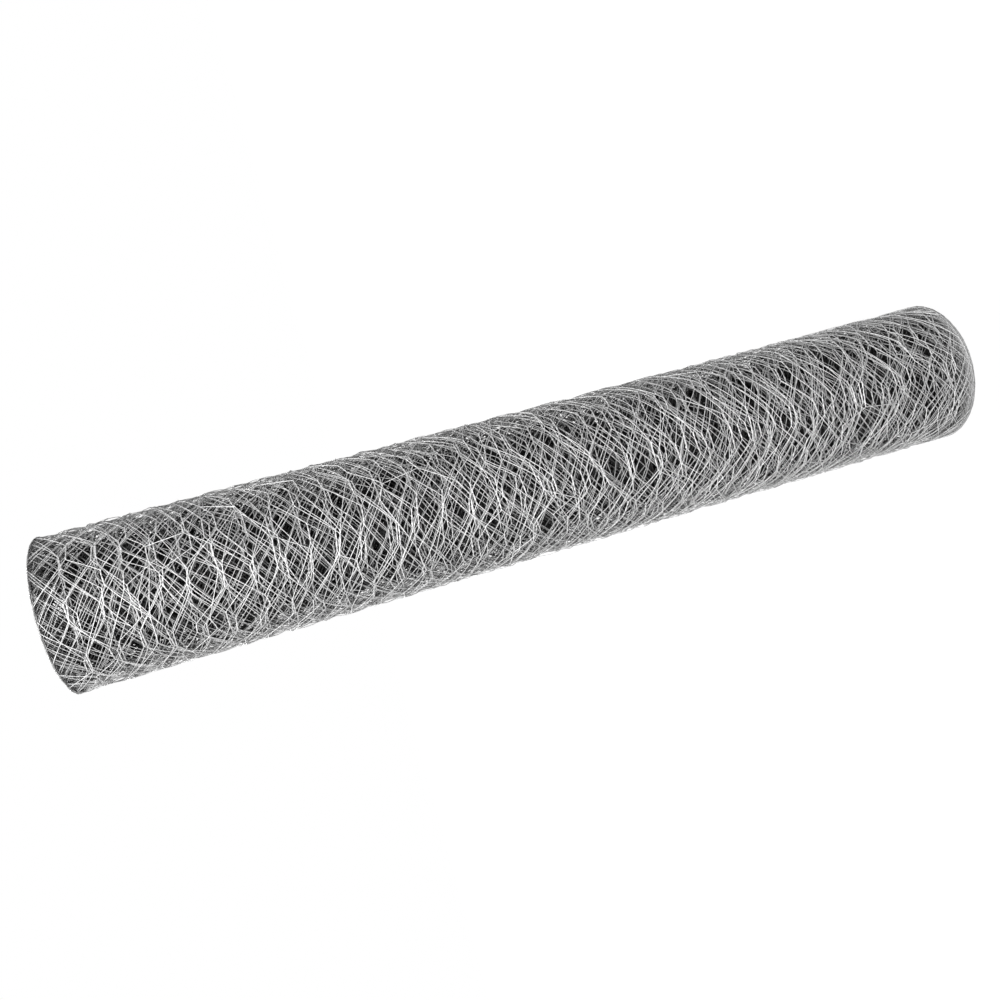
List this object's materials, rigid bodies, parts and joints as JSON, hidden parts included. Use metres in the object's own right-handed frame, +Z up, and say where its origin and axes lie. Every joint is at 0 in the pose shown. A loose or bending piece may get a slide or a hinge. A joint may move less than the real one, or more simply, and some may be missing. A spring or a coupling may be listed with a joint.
{
  "type": "roll of wire netting",
  "caption": "Tightly wound roll of galvanized hexagonal wire netting for livestock fencing, standing on its end, with an open bore.",
  "frame": {"origin": "on the roll's axis, at the end that it stands on", "axes": "+Z up along the roll's axis, +X and +Y across the roll"},
  "size_m": [0.1459, 0.146, 0.9],
  "materials": {
    "galvanized_wire": "hot-dip galvanized wire, dull bright grey"
  },
  "bodies": {
    "root": {"netting_roll": "galvanized_wire"}
  },
  "joints": []
}
